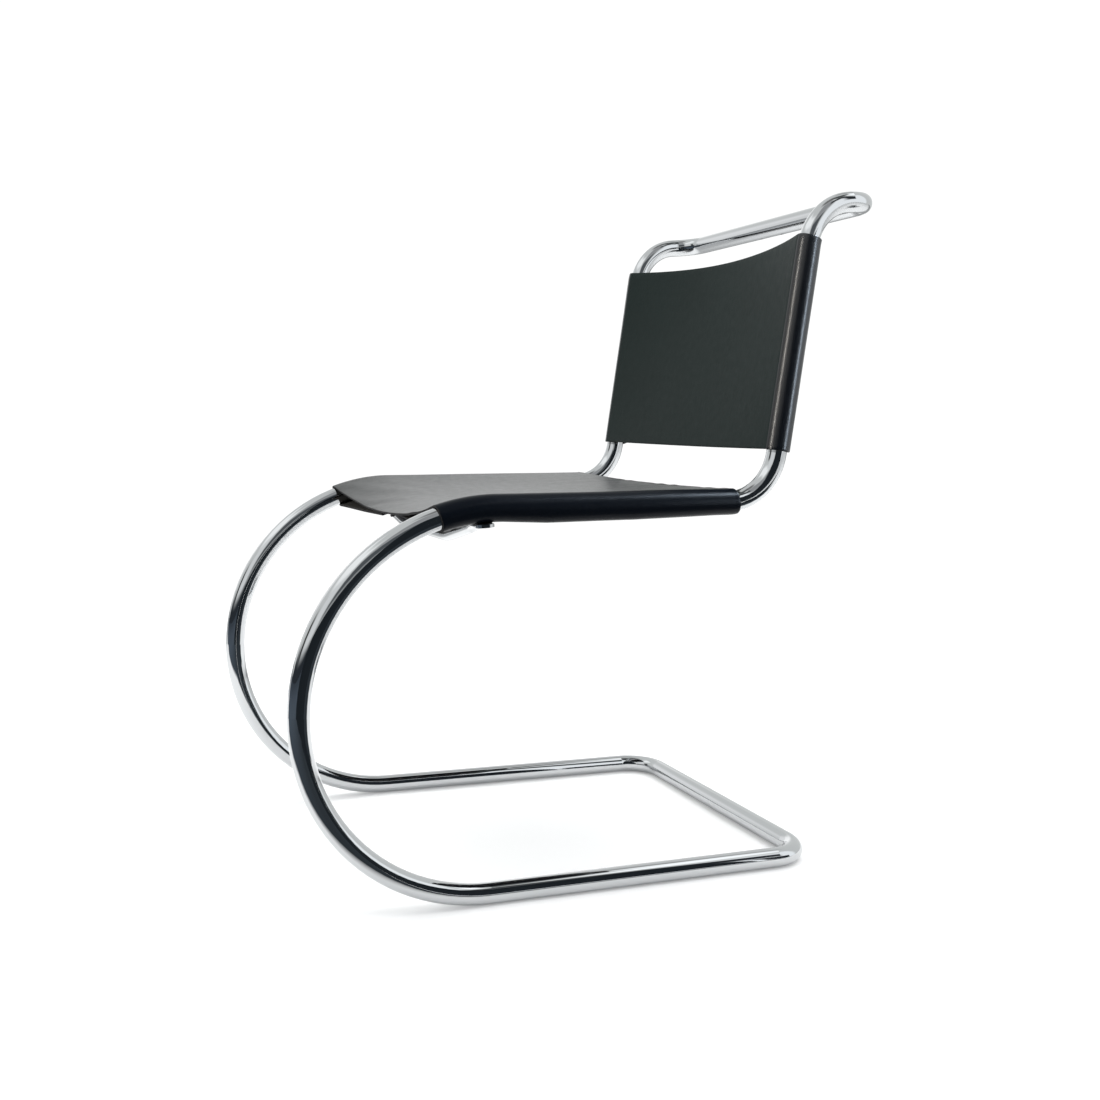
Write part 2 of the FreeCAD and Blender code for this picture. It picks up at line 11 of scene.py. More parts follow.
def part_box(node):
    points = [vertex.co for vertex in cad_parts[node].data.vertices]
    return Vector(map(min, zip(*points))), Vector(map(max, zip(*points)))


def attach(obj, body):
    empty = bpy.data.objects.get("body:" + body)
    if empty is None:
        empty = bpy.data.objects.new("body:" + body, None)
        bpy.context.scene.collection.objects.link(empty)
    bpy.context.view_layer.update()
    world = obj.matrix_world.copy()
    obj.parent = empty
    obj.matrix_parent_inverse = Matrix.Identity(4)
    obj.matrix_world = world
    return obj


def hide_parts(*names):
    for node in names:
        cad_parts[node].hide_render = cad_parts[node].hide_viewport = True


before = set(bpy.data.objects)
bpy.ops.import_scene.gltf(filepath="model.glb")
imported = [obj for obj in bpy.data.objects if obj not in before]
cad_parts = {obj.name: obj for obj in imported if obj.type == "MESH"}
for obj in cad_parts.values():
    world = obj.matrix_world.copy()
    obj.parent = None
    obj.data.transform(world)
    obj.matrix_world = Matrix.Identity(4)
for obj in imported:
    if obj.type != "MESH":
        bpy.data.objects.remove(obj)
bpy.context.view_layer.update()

bl_info = {
    "name": "Cantilever chair dressing",
    "version": (1, 0, 0),
    "blender": (4, 5, 0),
    "location": "3D View > Sidebar > Chair",
    "description": "Leather slings, lacing, polished metal and a pale studio for a cantilever chair",
    "category": "Object",
}

# Side profile of one rail, as in the solid model. Lengths in metres, angles in degrees.
TUBE = 0.024
HALF_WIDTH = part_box("frame_tube_left")[1][0] - TUBE / 2
SPIGOT_RADIUS = 0.00995
BASE_CORNER_RADIUS = 0.046


def bend(name, radius, turn):
    """A run that turns at a radius, as its name, length and turn."""
    return name, radius * math.radians(abs(turn)), turn


# Name, length and turn of every run, from the base's rear corner to the top bar.
RUNS = (
    ("base_rail", 0.369, 0.0),
    bend("lower_arc", 0.211, -90.0),
    bend("upper_arc", 0.214, -88.5),
    ("seat_rail", 0.284, 0.0),
    bend("rear_bend", 0.065, 81.4),
    ("upright", 0.243, 0.0),
    bend("top_bend", 0.062, -76.9),
)
Run = namedtuple("Run", "y z heading length turn")


def lay_runs():
    """Start point and heading of every run; the base rail starts one corner radius before the rear bar."""
    laid = {}
    rear_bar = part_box("base_joint_spigot")[0][1] + SPIGOT_RADIUS
    y, z, heading = rear_bar - BASE_CORNER_RADIUS, TUBE / 2, 180.0
    for name, length, turn in RUNS:
        laid[name] = Run(y, z, heading, length, turn)
        y, z, heading = on_run(laid[name], length)
    return laid


def on_run(run, distance):
    """Point and heading at a distance from a run's start."""
    start = math.radians(run.heading)
    if run.turn == 0.0:
        return run.y + distance * math.cos(start), run.z + distance * math.sin(start), run.heading
    radius = run.length / math.radians(run.turn)
    heading = run.heading + run.turn * distance / run.length
    end = math.radians(heading)
    return (run.y + radius * (math.sin(end) - math.sin(start)),
            run.z - radius * (math.cos(end) - math.cos(start)), heading)


LAID = lay_runs()
ORDER = [run[0] for run in RUNS]


def along(name, distance):
    """Point and heading at a distance from a run's start, which may lie on the run before or after it."""
    index = ORDER.index(name)
    length = LAID[name].length
    if distance < 0:
        return along(ORDER[index - 1], distance + LAID[ORDER[index - 1]].length)
    if distance > length and index + 1 < len(ORDER):
        return along(ORDER[index + 1], distance - length)
    return on_run(LAID[name], distance)


def length_prop(name, text, default):
    return FloatProperty(name=name, description=text, default=default,
                         unit="LENGTH", subtype="DISTANCE", precision=4)


def colour_prop(name, text, default):
    return FloatVectorProperty(name=name, description=text, default=default,
                               size=3, subtype="COLOR", min=0.0, max=1.0)


def share_prop(name, text, default):
    return FloatProperty(name=name, description=text, default=default, min=0.0, max=1.0, subtype="FACTOR")


class ChairSizes(bpy.types.PropertyGroup):
    thickness: length_prop("Leather", "Thickness of the leather", 0.0028)
    clearance: length_prop("Clearance", "Air between the leather and the tube", 0.0003)
    flap_gap: length_prop("Flap gap", "Open strip between the two laced flaps", 0.050)
    eyelet_edge: length_prop("Eyelet edge", "From a flap's edge to the middle of its eyelets", 0.012)
    cord: length_prop("Lacing cord", "Diameter of the lacing cord", 0.0025)
    knot: length_prop("Knot", "Width of the knots at the cord's ends", 0.0070)
    cord_level: length_prop("Cord level", "From the middle of the leather to that of the cord", 0.0037)
    grid_step: length_prop("Grid", "Spacing of the leather's mesh", 0.0034)


class LeatherLook(bpy.types.PropertyGroup):
    seat: colour_prop("Seat panel", "Finish of the seat panel", (0.0050, 0.0064, 0.0064))
    back: colour_prop("Back panel", "Finish of the back panel", (0.0065, 0.0118, 0.0112))
    # Sleeve colour: leather polished by its stretch over the rails, and also painted darker and bluer than
    # the panels of the same sheet, as painted shade and painted bluish reflection of the room it faces.
    sleeve: colour_prop("Sleeves", "Stretched and polished leather on the rails", (0.0015, 0.0024, 0.0042))
    flesh: colour_prop("Flesh side", "Unfinished inner side", (0.016, 0.015, 0.014))
    edge: colour_prop("Cut edge", "Dyed and burnished edge", (0.005, 0.005, 0.006))
    seat_roughness: share_prop("Seat roughness", "Roughness of the seat panel", 0.36)
    back_roughness: share_prop("Back roughness", "Roughness of the back panel", 0.52)
    sleeve_roughness: share_prop("Sleeve roughness", "Roughness of the leather on the rails", 0.31)
    grain: FloatProperty(name="Grain", description="Grain cells per metre", default=1100.0, min=50, max=4000)


class MetalLook(bpy.types.PropertyGroup):
    chrome: colour_prop("Chrome", "Polished chrome plate", (0.605, 0.615, 0.625))
    steel: colour_prop("Steel", "Plain turned steel", (0.36, 0.36, 0.37))
    black: colour_prop("Blackened steel", "Washers and screws of the brace", (0.035, 0.036, 0.040))
    nickel: colour_prop("Nickel", "Plated eyelets", (0.52, 0.50, 0.47))
    polish: share_prop("Polish", "Roughness of the chrome", 0.035)


class StudioLook(bpy.types.PropertyGroup):
    wall: colour_prop("Wall", "Pale backdrop round the far side", (0.76, 0.78, 0.775))
    room: colour_prop("Room", "Dark room behind the camera", (0.030, 0.036, 0.044))
    softbox: FloatProperty(name="Softbox", description="Power of the overhead softbox in watts",
                           default=118.0, min=0)
    lens: FloatProperty(name="Lens", description="Focal length on a 36 mm sensor",
                        default=40.412, unit="CAMERA")


# Materials

GRAIN_WARP = 0.0016
BRAID_ANGLE = 38.0


class Graph:
    """Short way to lay out a node material."""

    def __init__(self, tree):
        self.tree = tree
        tree.nodes.clear()

    def add(self, kind, **values):
        node = self.tree.nodes.new(kind)
        for key, value in values.items():
            setattr(node, key, value)
        return node

    def link(self, out, into):
        self.tree.links.new(out, into)


def new_material(name):
    """A material with a shader on its output, and the coordinates for its textures."""
    material = bpy.data.materials.new(name)
    material.use_nodes = True
    graph = Graph(material.node_tree)
    shader = graph.add("ShaderNodeBsdfPrincipled")
    output = graph.add("ShaderNodeOutputMaterial")
    graph.link(shader.outputs["BSDF"], output.inputs["Surface"])
    coords = graph.add("ShaderNodeTexCoord")
    return material, graph, shader, coords


def noise_on(graph, coords, scale, detail, stretch=(1, 1, 1), source="Object"):
    """Noise fixed to the piece, or with source UV to the flat sheet."""
    mapping = graph.add("ShaderNodeMapping")
    mapping.inputs["Scale"].default_value = stretch
    graph.link(coords.outputs[source], mapping.inputs["Vector"])
    texture = graph.add("ShaderNodeTexNoise")
    texture.inputs["Scale"].default_value = scale
    texture.inputs["Detail"].default_value = detail
    graph.link(mapping.outputs["Vector"], texture.inputs["Vector"])
    return texture


def spread(graph, value, low, high, from_low=0.3, from_high=0.7):
    """A value in one range stretched to another range, low and high."""
    node = graph.add("ShaderNodeMapRange")
    node.inputs["From Min"].default_value = from_low
    node.inputs["From Max"].default_value = from_high
    node.inputs["To Min"].default_value = low
    node.inputs["To Max"].default_value = high
    graph.link(value, node.inputs["Value"])
    return node.outputs["Result"]


def mix_colours(graph, factor, first, second):
    node = graph.add("ShaderNodeMix", data_type="RGBA")
    node.inputs["A"].default_value = (*first, 1)
    node.inputs["B"].default_value = (*second, 1)
    graph.link(factor, node.inputs["Factor"])
    return node.outputs["Result"]


def bump(graph, shader, height, strength, distance, normal=None):
    node = graph.add("ShaderNodeBump")
    node.inputs["Strength"].default_value = strength
    node.inputs["Distance"].default_value = distance
    graph.link(height, node.inputs["Height"])
    if normal is not None:
        graph.link(normal, node.inputs["Normal"])
    graph.link(node.outputs["Normal"], shader.inputs["Normal"])
    return node.outputs["Normal"]


def math_node(graph, operation, first, second=None):
    node = graph.add("ShaderNodeMath", operation=operation)
    for socket, value in zip(node.inputs, (first, second)):
        if isinstance(value, (int, float)):
            socket.default_value = value
        elif value is not None:
            graph.link(value, socket)
    return node.outputs["Value"]


def lighter(colour, times):
    return tuple(min(1.0, value * times) for value in colour)


def metal(name, colour, smoothest, roughest, scale=45.0):
    """Plated or turned metal: faint handling marks in the roughness and a very fine waviness."""
    material, graph, shader, coords = new_material(name)
    shader.inputs["Metallic"].default_value = 1.0
    marks = noise_on(graph, coords, scale, detail=6.0)
    graph.link(spread(graph, marks.outputs["Fac"], smoothest, roughest, from_low=0.35, from_high=0.75),
               shader.inputs["Roughness"])
    tint = noise_on(graph, coords, scale / 6, detail=2.0)
    graph.link(mix_colours(graph, tint.outputs["Fac"], colour, lighter(colour, 1.06)),
               shader.inputs["Base Color"])
    wave = noise_on(graph, coords, scale=9.0, detail=1.0)
    bump(graph, shader, wave.outputs["Fac"], strength=0.05, distance=0.0004)
    return material


def leather_finish(name, look, colour, roughness, level, coat):
    """Saddle leather: pebbled grain with short streaks, faintly cloudy colour and an uneven soft sheen."""
    material, graph, shader, coords = new_material(name)
    cloud = noise_on(graph, coords, scale=7.0, detail=4.0, source="UV")
    graph.link(mix_colours(graph, spread(graph, cloud.outputs["Fac"], 0, 1), colour, lighter(colour, 1.12)),
               shader.inputs["Base Color"])
    rub = noise_on(graph, coords, scale=90.0, detail=5.0, source="UV")
    graph.link(spread(graph, rub.outputs["Fac"], roughness - 0.02, roughness + 0.03),
               shader.inputs["Roughness"])
    shader.inputs["Specular IOR Level"].default_value = level
    shader.inputs["Coat Weight"].default_value = coat
    shader.inputs["Coat Roughness"].default_value = 0.16
    cells = graph.add("ShaderNodeTexVoronoi", feature="SMOOTH_F1")
    cells.inputs["Scale"].default_value = look.grain
    cells.inputs["Smoothness"].default_value = 0.6
    warp = noise_on(graph, coords, scale=420.0, detail=2.0, source="UV")
    shifted = graph.add("ShaderNodeVectorMath", operation="MULTIPLY_ADD")
    shifted.inputs[1].default_value = (GRAIN_WARP, GRAIN_WARP, 0.0)
    graph.link(warp.outputs["Color"], shifted.inputs[0])
    graph.link(coords.outputs["UV"], shifted.inputs[2])
    graph.link(shifted.outputs["Vector"], cells.inputs["Vector"])
    fine = bump(graph, shader, cells.outputs["Distance"], strength=0.32, distance=0.0003)
    streaks = noise_on(graph, coords, scale=300.0, detail=5.0, stretch=(1.0, 0.30, 1.0), source="UV")
    bump(graph, shader, streaks.outputs["Fac"], strength=0.22, distance=0.0007, normal=fine)
    return material


def leather_back(name, colour, fibre):
    """Flesh side or cut edge: matt, with short fibres."""
    material, graph, shader, coords = new_material(name)
    nap = noise_on(graph, coords, scale=fibre, detail=6.0)
    graph.link(mix_colours(graph, spread(graph, nap.outputs["Fac"], 0, 1), colour, lighter(colour, 1.9)),
               shader.inputs["Base Color"])
    shader.inputs["Roughness"].default_value = 0.82
    shader.inputs["Specular IOR Level"].default_value = 0.3
    bump(graph, shader, nap.outputs["Fac"], strength=0.4, distance=0.0004)
    return material


def waxed_cord(name):
    """Round braid of dark waxed cord: two crossing spirals of strands, with painted shade in the grooves
    between them.
    """
    material, graph, shader, coords = new_material(name)
    heights = []
    for turn in (-1, 1):
        mapping = graph.add("ShaderNodeMapping")
        mapping.inputs["Rotation"].default_value = (0, 0, turn * math.radians(BRAID_ANGLE))
        graph.link(coords.outputs["UV"], mapping.inputs["Vector"])
        wave = graph.add("ShaderNodeTexWave")
        wave.inputs["Scale"].default_value = 330.0
        wave.inputs["Distortion"].default_value = 0.0
        graph.link(mapping.outputs["Vector"], wave.inputs["Vector"])
        heights.append(wave.outputs["Fac"])
    strands = math_node(graph, "MAXIMUM", *heights)
    # Strand tops lighter and grooves darker: painted shade between the strands.
    graph.link(mix_colours(graph, strands, (0.006, 0.006, 0.006), (0.030, 0.030, 0.032)),
               shader.inputs["Base Color"])
    shader.inputs["Roughness"].default_value = 0.55
    shader.inputs["Sheen Weight"].default_value = 0.15
    bump(graph, shader, strands, strength=0.8, distance=0.0003)
    return material


def give(node_name, material):
    """Every material slot of a node of the solid model gets this finish."""
    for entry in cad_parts[node_name].material_slots:
        entry.link = "OBJECT"
        entry.material = material


# Leather sheets

EYELET_HOLE_RADIUS = 0.0029
FINE_EDGE = 0.0006
SLEEVE_START = 0.001  # from the line where the leather meets the tube
FLAP_TRIM_RUN = 1 / 12  # share of a flap over which its drawn-in ends set in


def object_from(bm, name, materials):
    """The mesh as a new object in the scene, with its materials."""
    mesh = bpy.data.meshes.new(name)
    bm.to_mesh(mesh)
    bm.free()
    for material in materials:
        mesh.materials.append(material)
    made = bpy.data.objects.new(name, mesh)
    bpy.context.scene.collection.objects.link(made)
    return made


def held_in(value, low, high):
    return max(low, min(high, value))


class Wrap:
    """One leather sheet on both rails, from the right flap's edge over the panel to the left flap's edge.

    It lies on one run of the rails from start to end. Sags and droops are the depths of the panel and the
    flaps at both ends, skews is how far each end runs askew, and trim and taper draw the flaps' ends in.
    """

    def __init__(self, sizes, run, start, end, sags, droops, skews, trim, taper):
        self.sizes = sizes
        self.run = run
        self.start = start
        self.end = end
        self.sags = sags
        self.droops = droops
        self.skews = skews
        self.trim = trim
        self.taper = taper
        self.radius = TUBE / 2 + sizes.clearance + sizes.thickness / 2
        self.middle = (start + end) / 2

    def depth(self, pair, distance):
        """Depth at a distance, out of the depths at the sheet's two ends."""
        share = (distance - self.start) / (self.end - self.start)
        return pair[0] + (pair[1] - pair[0]) * share

    def spans(self, distance):
        """Angles and radii of the panel's and flaps' arcs, and half widths of panel, sleeves and flaps."""
        radius = self.radius
        panel = 2 * math.atan(self.depth(self.sags, distance) / HALF_WIDTH)
        flap = 2 * math.atan(self.depth(self.droops, distance) / HALF_WIDTH)
        panel_arc = (HALF_WIDTH - radius * math.sin(panel)) / math.sin(panel)
        flap_arc = (HALF_WIDTH + radius * math.sin(flap)) / math.sin(flap)
        edge = math.asin(self.sizes.flap_gap / 2 / flap_arc)
        widths = (panel_arc * panel, radius * (math.pi + panel - flap), flap_arc * (flap - edge))
        return panel, flap, panel_arc, flap_arc, widths

    def half_widths(self, distance):
        return self.spans(distance)[4]

    def across(self, distance, share):
        """Point and outward normal in the section; share is -1 and 1 at the flap edges and 0 mid panel."""
        panel, flap, panel_arc, flap_arc, widths = self.spans(distance)
        side = -1.0 if share < 0 else 1.0
        run = abs(share) * sum(widths)
        if run <= widths[0]:
            angle = run / panel_arc
            centre = self.radius * math.cos(panel) + panel_arc * math.cos(panel)
            x, y = panel_arc * math.sin(angle), centre - panel_arc * math.cos(angle)
            nx, ny = -math.sin(angle), math.cos(angle)
        elif run <= widths[0] + widths[1]:
            angle = math.pi / 2 + panel - (run - widths[0]) / self.radius
            nx, ny = math.cos(angle), math.sin(angle)
            x, y = HALF_WIDTH + self.radius * nx, self.radius * ny
        else:
            angle = flap - (run - widths[0] - widths[1]) / flap_arc
            centre = -self.radius * math.cos(flap) + flap_arc * math.cos(flap)
            x, y = flap_arc * math.sin(angle), centre - flap_arc * math.cos(angle)
            nx, ny = math.sin(angle), -math.cos(angle)
        return side * x, y, side * nx, ny

    def place(self, distance, share, lift=0.0):
        """Point on the sheet, lifted off its middle surface towards the finish side."""
        x, y, nx, ny = self.across(distance, share)
        rail_y, rail_z, heading = along(self.run, distance)
        turn = math.radians(heading)
        towards = Vector((0, -math.sin(turn), math.cos(turn)))
        return Vector((x + nx * lift, rail_y, rail_z)) + towards * (y + ny * lift)

    def ends_at(self, share):
        """Cut ends along the rail at one place across: askew on the panel, drawn in on the flaps."""
        askew = held_in(share * 2.0, -1.0, 1.0)
        panel, sleeve, flap = self.half_widths(self.middle)
        past_sleeve = (abs(share) * (panel + sleeve + flap) - panel - sleeve) / flap
        drawn_in = (self.trim * held_in(past_sleeve / FLAP_TRIM_RUN, 0.0, 1.0)
                    + self.taper * max(0.0, past_sleeve))
        return (self.start + self.skews[0] * askew + drawn_in,
                self.end + self.skews[1] * askew - drawn_in)

    def distance_at(self, share, length_share):
        start, end = self.ends_at(share)
        return start + (end - start) * length_share

    def length_share_at(self, share, distance):
        start, end = self.ends_at(share)
        return (distance - start) / (end - start)

    def eyelet_share(self, distance):
        return 1 - self.sizes.eyelet_edge / sum(self.half_widths(distance))

    def eyelet_stops(self, pitch):
        length = self.end - self.start
        count = int((length - 2 * self.sizes.eyelet_edge) / pitch) + 1
        first = self.start + (length - (count - 1) * pitch) / 2
        return [first + pitch * index for index in range(count)]

    def flat_size(self):
        return 2 * sum(self.half_widths(self.middle)), self.end - self.start


def leather_sheet(name, wrap, pitch, relief, materials):
    """A flat cut of leather, pierced for its eyelets, wrapped on the rails and given its thickness.

    The materials are the panel, the sleeves, the flesh side of each, and the cut edge.
    """
    sizes = wrap.sizes
    width, length = wrap.flat_size()
    columns = round(width / sizes.grid_step)
    rows = round(length / sizes.grid_step)
    bm = bmesh.new()
    bmesh.ops.create_grid(bm, x_segments=columns, y_segments=rows, size=0.5)
    bmesh.ops.scale(bm, vec=(width, length, 1), verts=bm.verts)
    flat = bm.loops.layers.uv.new("flat")
    crest = wrap.half_widths(wrap.middle)[0] + SLEEVE_START
    for face in bm.faces:
        face.smooth = True
        face.material_index = 1 if abs(face.calc_center_median().x) > crest else 0
        for corner in face.loops:
            corner[flat].uv = corner.vert.co.xy + Vector((width / 2, length / 2))
    pierced = []
    for stop in wrap.eyelet_stops(pitch):
        share = wrap.eyelet_share(stop)
        for side in (-1, 1):
            row = wrap.length_share_at(side * share, stop)
            pierced.append(Vector((side * share * width / 2, row * length - length / 2)))
    holes = [face for face in bm.faces
             if any((face.calc_center_median().xy - spot).length < EYELET_HOLE_RADIUS for spot in pierced)]
    bmesh.ops.delete(bm, geom=holes, context="FACES")
    for vert in bm.verts:
        share = vert.co.x / (width / 2)
        length_share = vert.co.y / length + 0.5
        vert.co = wrap.place(wrap.distance_at(share, length_share), share, relief(share, length_share))
    bmesh.ops.recalc_face_normals(bm, faces=bm.faces)
    centre = wrap.place(wrap.middle, 0.0)
    nearest = min(bm.faces, key=lambda face: (face.calc_center_median() - centre).length)
    if nearest.normal.dot(wrap.place(wrap.middle, 0.0, sizes.thickness) - centre) < 0:
        bmesh.ops.reverse_faces(bm, faces=bm.faces)
    sheet = object_from(bm, name, materials)
    wall = sheet.modifiers.new("thickness", "SOLIDIFY")
    wall.thickness = sizes.thickness
    wall.offset = 0.0
    wall.use_even_offset = True
    wall.material_offset = 2
    wall.material_offset_rim = 4
    edge = sheet.modifiers.new("burnished_edge", "BEVEL")
    edge.width = FINE_EDGE
    edge.segments = 2
    edge.limit_method = "ANGLE"
    edge.angle_limit = math.radians(60)
    return sheet


# Heights in metres of what makes the leather uneven.
SEAT_SWELLING = 0.0007
SEAT_CREASE = 0.00035
SEAT_PULL_LINE = 0.0006
SEAT_SLACK = 0.0026
BACK_SWELLING = 0.0006

# Shares of the sheet's half width and of its length.
UNDER_RAIL = 0.575
SLACK_WIDTH = 0.030
SLACK_ENDS = (0.20, 0.92)
CREASED_FRONT = 1 / 3
PULLED_REAR = 0.6


def seat_relief(share, length_share):
    """Creases that fan in from the front corners, pull lines at the rear, slack leather under the rails."""
    spot = Vector((share * 4.0, length_share * 3.0, 0.0))
    lift = SEAT_SWELLING * noise.noise(spot)
    across = abs(share) * 2.0
    if across < 1.0:
        front = max(0.0, 1.0 - length_share / CREASED_FRONT)
        fan = math.sin(26.0 * (length_share * 1.6 + 0.55 * across) + 3.0 * noise.noise(spot * 1.7))
        lift += SEAT_CREASE * front * across * (1 - across) * 4 * fan
        rear = max(0.0, (length_share - PULLED_REAR) / (1 - PULLED_REAR))
        lift += SEAT_PULL_LINE * rear * noise.noise(Vector((share * 26.0, length_share * 2.0, 5.0)))
    slack = (held_in((length_share - SLACK_ENDS[0]) * 7.0, 0.0, 1.0)
             * held_in((SLACK_ENDS[1] - length_share) * 3.5, 0.0, 1.0))
    return lift + SEAT_SLACK * slack * math.exp(-((abs(share) - UNDER_RAIL) / SLACK_WIDTH) ** 2)


def back_relief(share, length_share):
    """Nearly flat, with soft swellings."""
    return BACK_SWELLING * noise.noise(Vector((share * 3.5, length_share * 2.5, 9.0)))


# Lacing

CORD_SIDES = 10
CORD_TURN = 0.0045  # from an eyelet to where the cord lies straight
END_RISE = 1.3  # the cord's ends rise further off the leather, into their knots
KNOT_POINTS = 36
KNOT_HEIGHT = 1.5


def cord_route(wrap, stops):
    """Points of the lacing: up a left eyelet, across inside, down the right one and on outside."""
    level = wrap.sizes.cord_level
    points = []

    def at(distance, side, lift):
        return wrap.place(distance, side * wrap.eyelet_share(distance), lift)

    def straight(first, last):
        """Two points close to the ends of a straight stretch, so that the turns stay tight."""
        way = (last - first).normalized()
        return [first + way * CORD_TURN, last - way * CORD_TURN]

    for index, distance in enumerate(stops):
        points.append(at(distance, -1, level if index > 0 else level * END_RISE))
        rise = at(distance, -1, -level)
        fall = at(distance, 1, -level)
        points += [rise, *straight(rise, fall), fall]
        if index < len(stops) - 1:
            down = at(distance, 1, level)
            onward = at(stops[index + 1], -1, level)
            points += [down, *straight(down, onward)]
    points.append(at(stops[-1], 1, level * END_RISE))
    return points


def knot_route(wrap, distance, side):
    """Points of the tight threefold knot that holds a cord's end outside its last eyelet."""
    sizes = wrap.sizes
    share = side * wrap.eyelet_share(distance)
    foot = wrap.place(distance, share)
    outward = (wrap.place(distance, share, sizes.cord) - foot).normalized()
    turn = outward.to_track_quat("Z", "Y").to_matrix()
    centre = foot + outward * (sizes.cord_level + (sizes.knot - sizes.cord) / 2)
    reach = (sizes.knot - sizes.cord) / 6
    points = []
    for index in range(KNOT_POINTS + 1):
        angle = 2 * math.pi * index / KNOT_POINTS
        points.append(centre + reach * (turn @ Vector((
            math.sin(angle) + 2 * math.sin(2 * angle), math.cos(angle) - 2 * math.cos(2 * angle),
            -KNOT_HEIGHT * math.sin(3 * angle)))))
    return points


def smooth_path(name, points):
    """Points along a smooth curve that is drawn by the given points."""
    curve = bpy.data.curves.new(name + "_line", "CURVE")
    curve.dimensions = "3D"
    spline = curve.splines.new("NURBS")
    spline.points.add(len(points) - 1)
    for entry, point in zip(spline.points, points):
        entry.co = (*point, 1.0)
    spline.order_u = 3
    spline.use_endpoint_u = True
    spline.resolution_u = 5
    line = bpy.data.objects.new(name + "_line", curve)
    bpy.context.scene.collection.objects.link(line)
    bpy.context.view_layer.update()
    drawn = line.evaluated_get(bpy.context.evaluated_depsgraph_get())
    path = [vert.co.copy() for vert in bpy.data.meshes.new_from_object(drawn).vertices]
    bpy.data.objects.remove(line)
    return path


def rings_along(path, radius):
    """Points of a ring round every point of a path; the rings follow its turns without twisting."""
    angles = [2 * math.pi * place / CORD_SIDES for place in range(CORD_SIDES)]
    spokes = [radius * Vector((-math.sin(angle), math.cos(angle), 0.0)) for angle in angles]
    ahead = (path[1] - path[0]).normalized()
    side = ahead.orthogonal().normalized()
    turn = Matrix((side, ahead.cross(side), ahead)).transposed()
    rings = []
    for before, here, after in zip([path[0], *path], path, [*path[1:], path[-1]]):
        way = (after - before).normalized()
        turn = ahead.rotation_difference(way).to_matrix() @ turn
        ahead = way
        rings.append([here + turn @ spoke for spoke in spokes])
    return rings


def cord_mesh(name, points, radius):
    """A flat strip rolled round a smooth curve to a closed round cord, with the strip as its UV map."""
    path = smooth_path(name, points)
    last = len(path) - 1
    facet = 2 * math.pi * radius / CORD_SIDES
    lengths = [0.0, *accumulate((here - before).length for before, here in zip(path, path[1:]))]
    bm = bmesh.new()
    bmesh.ops.create_grid(bm, x_segments=CORD_SIDES, y_segments=last, size=0.5)
    # Every point's place round the cord and its index along the path.
    spots = {vert: (round((vert.co.x + 0.5) * CORD_SIDES), round((vert.co.y + 0.5) * last))
             for vert in bm.verts}
    flat = bm.loops.layers.uv.new("flat")
    for face in bm.faces:
        face.smooth = True
        for corner in face.loops:
            place, index = spots[corner.vert]
            corner[flat].uv = (facet * place, lengths[index])
    rings = rings_along(path, radius)
    for vert, (place, index) in spots.items():
        vert.co = rings[index][place % CORD_SIDES]
    seam = {index: vert for vert, (place, index) in spots.items() if place == 0}
    bmesh.ops.weld_verts(bm, targetmap={vert: seam[index] for vert, (place, index) in spots.items()
                                        if place == CORD_SIDES})
    bmesh.ops.holes_fill(bm, edges=[edge for edge in bm.edges if edge.is_boundary], sides=CORD_SIDES)
    bmesh.ops.recalc_face_normals(bm, faces=bm.faces)
    return bm


# Studio

PURE_WHITE = (1.05, 1.05, 1.05, 1)
LEFT_SHADE = 0.55  # share of the paper that reflections far to the left see as dark
FLOOR_HALF = 20.0

# What the room shows in the polished metal: name, limits in azimuth and elevation, soft edge and colour,
# or None for the room's own colour. Later patches cover earlier ones. Angles in degrees; azimuth 0 is the
# chair's near side and 90 its back.
ROOM_PATCHES = (
    ("backdrop_glow_right", (156, 210), (-6, 26), 7, (1.30, 1.31, 1.31)),
    ("backdrop_glow_left", (-210, -146), (-6, 26), 7, (1.05, 1.06, 1.07)),
    ("high_window", (-138, -52), (37, 57), 5, (1.25, 1.27, 1.27)),
    ("left_window", (-86, -46), (9, 40), 5, (0.90, 0.92, 0.93)),
    ("window_post", (-110, -90), (6, 25), 5, (0.06, 0.06, 0.06)),
    ("right_shade", (115, 150), (50, 66), 6, (0.46, 0.47, 0.47)),
    ("near_wall", (15, 80), (-6, 52), 5, (1.18, 1.22, 1.25)),
    ("near_beam", (33, 47), (26, 54), 3, (0.030, 0.035, 0.041)),
    ("room", (-127, 12), (-10, 9), 5, None),
    ("dim_side", (-38, 8), (12, 42), 6, (0.11, 0.12, 0.13)),
    ("dim_side_high", (-38, 16), (42, 76), 7, (0.38, 0.39, 0.40)),
    ("ceiling", (-180, 180), (78, 95), 5, (0.24, 0.24, 0.24)),
    ("ceiling_edge", (8, 48), (53, 67), 3, (0.05, 0.055, 0.06)),
    ("ceiling_dark", (32, 96), (66, 95), 3, (0.11, 0.12, 0.12)),
    ("ceiling_light", (57, 112), (57, 65), 2.5, (1.50, 1.54, 1.56)),
)

# Dark flags beside the chair's near side that give the metal its black bands: name, limits along Y and Z.
FLAG_X = 0.80
FLAGS = (
    ("front_flag", (-0.75, -0.25), (0.05, 0.42)),
    ("tall_flag", (-0.25, 0.55), (0.04, 0.90)),
    ("rear_flag", (0.57, 1.20), (0.03, 0.32)),
)

# Lamps for the leather alone: name, place, target, size, watts and colour.
LEATHER_LAMPS = (
    ("side_strip", (2.05, 1.75, 0.75), (0.23, 0.23, 0.62), (0.30, 1.4), 24.0, (0.72, 0.85, 1.0)),
    ("front_strip", (0.15, -2.0, 0.9), (0.22, 0.2, 0.62), (0.26, 1.6), 26.0, (1.0, 0.95, 0.88)),
    ("rear_lamp", (0.55, 1.10, 1.75), (0.23, 0.2, 0.45), (0.40, 0.30), 30.0, (0.72, 0.85, 1.0)),
)

